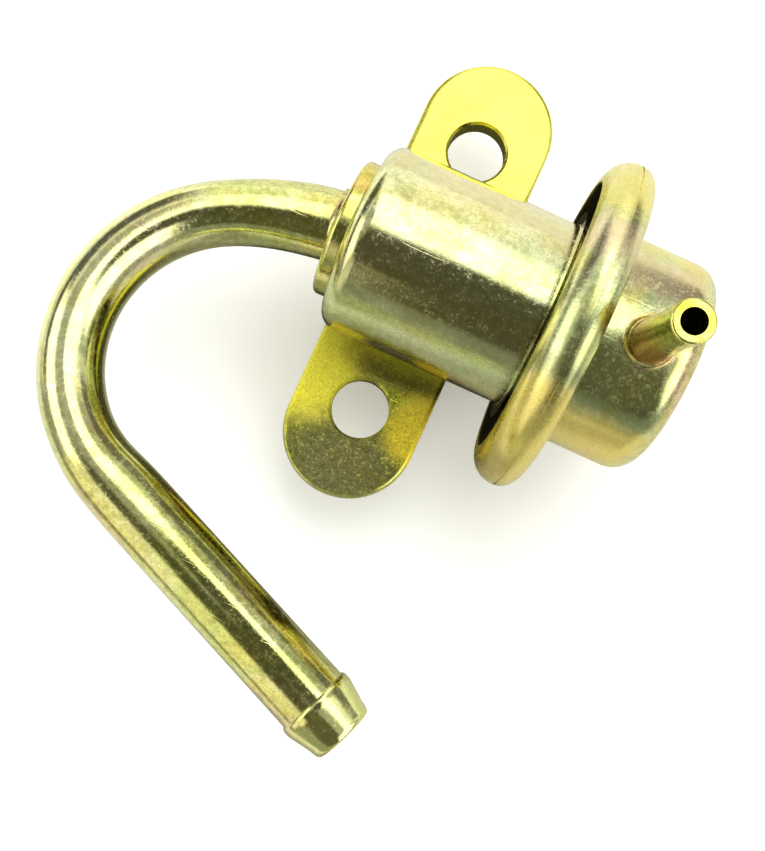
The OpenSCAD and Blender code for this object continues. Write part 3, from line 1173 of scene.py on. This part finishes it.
@dataclass(frozen=True)
class RoomPatch:
    """A patch of the room that shows in the plating.

    Its bearing is counted in the picture, 0 to the right and 90 up, and its reach from overhead.
    """

    name: str
    bearing_deg: float
    spread_deg: float
    near_deg: float
    far_deg: float
    level: float
    soft_deg: float
    tint: Colour = (1.0, 1.0, 0.98)

    def mask(self, side: Wire, up: Wire, overhead: Wire) -> Wire:
        """Gives where the patch is.

        Args:
            side: share of the level direction that points right in the picture.
            up: share of the level direction that points up in the picture.
            overhead: angle from overhead in degrees.

        Returns:
            The wire of the mask, 1 inside the patch.
        """
        bearing = math.radians(self.bearing_deg)
        along = side * math.cos(bearing) + up * math.sin(bearing)
        edge = math.cos(math.radians(self.spread_deg + 2.0 * self.soft_deg))
        across = along.ramp(edge, math.cos(math.radians(self.spread_deg)))
        inside = overhead.ramp(self.near_deg - self.soft_deg, self.near_deg + self.soft_deg)
        beyond = overhead.ramp(self.far_deg - self.soft_deg, self.far_deg + self.soft_deg)
        return across * inside * (1.0 - beyond)


STUDIO = (
    RoomPatch("wall_above", 58.0, 48.0, 7.0, 50.0, 2.40, 4.0),
    RoomPatch("wall_above_left", 128.0, 24.0, 14.0, 50.0, 0.55, 5.0),
    RoomPatch("high_wall", 86.0, 62.0, 50.0, 96.0, 1.35, 8.0, (1.0, 0.98, 0.92)),
    RoomPatch("right_above", 46.0, 8.0, 40.0, 62.0, 0.55, 4.0),
    RoomPatch("right_far", 40.0, 14.0, 62.0, 100.0, 0.20, 5.0),
    RoomPatch("dark_corner", 138.0, 26.0, 58.0, 112.0, 0.15, 8.0, (0.92, 0.96, 1.0)),
    RoomPatch("shade_below", 252.0, 50.0, 8.0, 66.0, 0.13, 4.0, (1.0, 0.96, 0.68)),
    RoomPatch("shade_left", 210.0, 20.0, 6.0, 34.0, 0.12, 5.0, (1.0, 0.92, 0.68)),
    RoomPatch("left_window", 172.0, 22.0, 43.0, 76.0, 2.4, 5.0),
    RoomPatch("left_wall", 218.0, 14.0, 42.0, 96.0, 1.15, 5.0, (1.0, 0.95, 0.84)),
    RoomPatch("right_window", -28.0, 26.0, 32.0, 70.0, 2.4, 6.0),
    RoomPatch("pale_below", 262.0, 30.0, 66.0, 92.0, 0.36, 4.0, (0.94, 1.0, 0.84)),
)


@dataclass(frozen=True)
class CardFinish(Finish):
    """One even shade, whatever light falls on it."""

    shade: Colour

    def sockets(self, tree: ShaderTree) -> Sockets:
        """Gives off the shade and takes no light."""
        return {
            "Base Color": BLACK,
            "Roughness": 1.0,
            "Specular IOR Level": 0.0,
            "Emission Color": self.shade,
            "Emission Strength": 1.0,
        }


@dataclass(frozen=True)
class TableFinish(Finish):
    """A pale table that is white to the eye and keeps the shadow, with a painted glow that lifts the shadow
    away from the part and above it; in the plating it shows darker, with painted shade to the left and under
    the part, and a painted glow further to the left.

    Left and above are counted in the picture, and each pair of lengths is where a change begins and ends.
    """

    right: tuple[float, float]
    colour: Colour = (0.88, 0.88, 0.86)
    glow_tint: Colour = (1.0, 1.0, 0.96)
    glow: float = 0.19
    far_glow: float = 0.34
    far_mm: Span = (35.0, 85.0)
    above_mm: Span = (2.0, 18.0)
    left_glow: float = 0.55
    left_near_mm: Span = (25.0, 60.0)
    left_far_mm: Span = (95.0, 140.0)
    mirrored_right: Colour = (0.64, 0.64, 0.58)
    mirrored_left_shade: Colour = (0.34, 0.34, 0.30)
    right_to_left_mm: Span = (-14.0, 8.0)
    mirrored_above: Colour = (0.78, 0.78, 0.74)
    below_to_above_mm: Span = (-20.0, 25.0)
    mirrored_under_shade: Colour = (0.12, 0.12, 0.08)
    under_shade_mm: Span = (28.0, 20.0)

    def sockets(self, tree: ShaderTree) -> Sockets:
        """Lights the table by what kind of ray sees it.

        Args:
            tree: the material's tree.

        Returns:
            The shader's values and wires by socket name.
        """
        mirrored, looked_at, looked_through = (
            tree.node("ShaderNodeLightPath", output=f"Is {ray} Ray")
            for ray in ("Glossy", "Camera", "Transmission")
        )
        seen = (looked_at + looked_through).at_most(1.0)
        along, across, _ = tree.axes()
        left = 0.0 - (along * self.right[0] + across * self.right[1])
        above = across * self.right[0] - along * self.right[1]
        away = (along * along + across * across).root()
        beside = left.ramp(*self.left_near_mm) * (1.0 - left.ramp(*self.left_far_mm))
        # Painted light: the glow grows away from the part and above it, which lifts the shadow there.
        open_floor = away.ramp(*self.far_mm).at_least(above.ramp(*self.above_mm))
        far = open_floor * (self.far_glow - self.glow)
        # Only the plating sees the painted glow to the left.
        glow = seen * (far + self.glow) + mirrored * beside * self.left_glow
        # Painted shade: in the plating the table is darker to the left and below, and darkest under the
        # part.
        shown = tree.mix(left.ramp(*self.right_to_left_mm), self.mirrored_right, self.mirrored_left_shade)
        shown = tree.mix(above.ramp(*self.below_to_above_mm), shown, self.mirrored_above)
        shown = tree.mix(away.ramp(*self.under_shade_mm), shown, self.mirrored_under_shade)
        return {
            "Base Color": tree.mix(mirrored, self.colour, shown),
            "Roughness": 1.0,
            "Specular IOR Level": 0.0,
            "Emission Color": tree.mix(glow, BLACK, self.glow_tint),
            "Emission Strength": 1.0,
        }


@dataclass
class PhotoStage:
    """The camera, the table, the lamp and the room round the part."""

    eye_mm: Triple = (4.5105, -23.1359, 134.396)
    right: Triple = (0.91019, 0.41410, 0.00858)
    up: Triple = (-0.41408, 0.90930, 0.04140)
    lens_mm: float = 46.5705
    sensor_mm: float = 36.0
    clip_mm: Span = (5.0, 10000.0)
    table_z_mm: float = -9.02
    table_half_mm: float = 900.0
    card_r_mm: float = 33.0
    card_sides: int = 48
    card_shade: Colour = (0.11, 0.105, 0.08)
    lamp_way: Triple = (0.06, 0.50, 0.86)
    lamp_aim_mm: Triple = (0.0, -15.0, 12.0)
    lamp_distance_mm: float = 420.0
    lamp_size_mm: tuple[float, float] = (300.0, 220.0)
    lamp_watts: float = 0.60
    lamp_tint: Colour = (1.0, 1.0, 0.98)
    room: tuple[RoomPatch, ...] = STUDIO
    room_level: float = 0.45

    def camera(self) -> None:
        """Sets the camera at the photograph's viewing angle."""
        data = bpy.data.cameras.new("photo_camera")
        data.sensor_fit = "VERTICAL"
        data.sensor_height = self.sensor_mm
        data.lens = self.lens_mm
        data.clip_start, data.clip_end = (reach * MM for reach in self.clip_mm)
        made = in_scene("photo_camera", data)
        right, up = Vector(self.right), Vector(self.up)
        turn = Matrix((right, up, right.cross(up))).transposed().to_4x4()
        made.matrix_world = Matrix.Translation(Vector(self.eye_mm) * MM) @ turn
        bpy.context.scene.camera = made

    def table(self) -> None:
        """Lays the pale table under the part."""
        mesh = bmesh.new()
        bmesh.ops.create_grid(mesh, x_segments=1, y_segments=1, size=self.table_half_mm * MM)
        bmesh.ops.translate(mesh, verts=mesh.verts, vec=(0.0, 0.0, self.table_z_mm * MM))
        made = mesh_object("table_top", mesh, TableFinish("table_white", self.right[:2]))

    def dark_card(self) -> None:
        """Hangs a dark round card at the camera, which shows only in the plating."""
        mesh = bmesh.new()
        bmesh.ops.create_circle(mesh, cap_ends=True, segments=self.card_sides, radius=self.card_r_mm * MM)
        bmesh.ops.translate(mesh, verts=mesh.verts, vec=Vector(self.eye_mm) * MM)
        made = mesh_object("dark_card", mesh, CardFinish("card_grey", self.card_shade))
        made.visible_camera = False
        made.visible_diffuse = False
        made.visible_shadow = False

    def shadow_lamp(self) -> None:
        """Sets the soft lamp that casts the shadow and doesn't show in the plating."""
        data = bpy.data.lights.new("shadow_lamp", "AREA")
        data.shape = "RECTANGLE"
        data.size, data.size_y = (side * MM for side in self.lamp_size_mm)
        data.energy = self.lamp_watts
        data.color = self.lamp_tint
        made = in_scene("shadow_lamp", data)
        away = Vector(self.lamp_way).normalized()
        made.location = Vector(self.lamp_aim_mm) * MM + away * self.lamp_distance_mm * MM
        made.rotation_euler = (-away).to_track_quat("-Z", "Y").to_euler()
        made.visible_glossy = False

    def room_light(self) -> None:
        """Lights the part from the room, which is plain white to the camera itself."""
        world = bpy.data.worlds.new("room")
        bpy.context.scene.world = world
        tree = ShaderTree(world)
        seen = tree.node("ShaderNodeLightPath", output="Is Camera Ray")
        colour = tree.mix(seen, self._room_colour(tree), WHITE)
        glow = tree.node("ShaderNodeBackground", {}, {"Color": colour, "Strength": 1.0})
        tree.node("ShaderNodeOutputWorld", {}, {"Surface": glow})
        LOG.info("room: %s", ", ".join(patch.name for patch in self.room))

    def _room_colour(self, tree: ShaderTree) -> Wire:
        """Gives the room's light by direction.

        Args:
            tree: the world's tree.

        Returns:
            The wire of the light's colour.
        """
        ways = tree.node("ShaderNodeTexCoord", output="Generated")
        level_right = Vector((self.right[0], self.right[1], 0.0)).normalized()
        level_up = Vector((-level_right.y, level_right.x, 0.0))
        side, up = (
            tree.node("ShaderNodeVectorMath", {"operation": "DOT_PRODUCT"}, {0: ways, 1: axis}, "Value")
            for axis in (level_right, level_up)
        )
        spread = (side * side + up * up).root().at_least(0.001)
        overhead = spread.angle_over(tree.node("ShaderNodeSeparateXYZ", {}, {"Vector": ways}, "Z"))
        colour: Union[Wire, Colour] = (self.room_level, self.room_level, self.room_level)
        for patch in self.room:
            share = patch.mask(side / spread, up / spread, overhead)
            colour = tree.mix(share, colour, tuple(patch.level * part for part in patch.tint))
        return colour

    def build(self) -> None:
        """Builds the whole stage."""
        self.camera()
        self.table()
        self.dark_card()
        self.shadow_lamp()
        self.room_light()
        bpy.context.scene.view_settings.view_transform = "Standard"
        LOG.info("stage built")


def main() -> None:
    """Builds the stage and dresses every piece."""
    logging.basicConfig(level=logging.INFO, format="%(message)s")
    PhotoStage().build()
    for group in (FlangePlate(), InletSpigot(), FuelBody(), CapEnd(), ReturnPipe(), ValveTrain()):
        group.build()


if __name__ == "__main__":
    main()
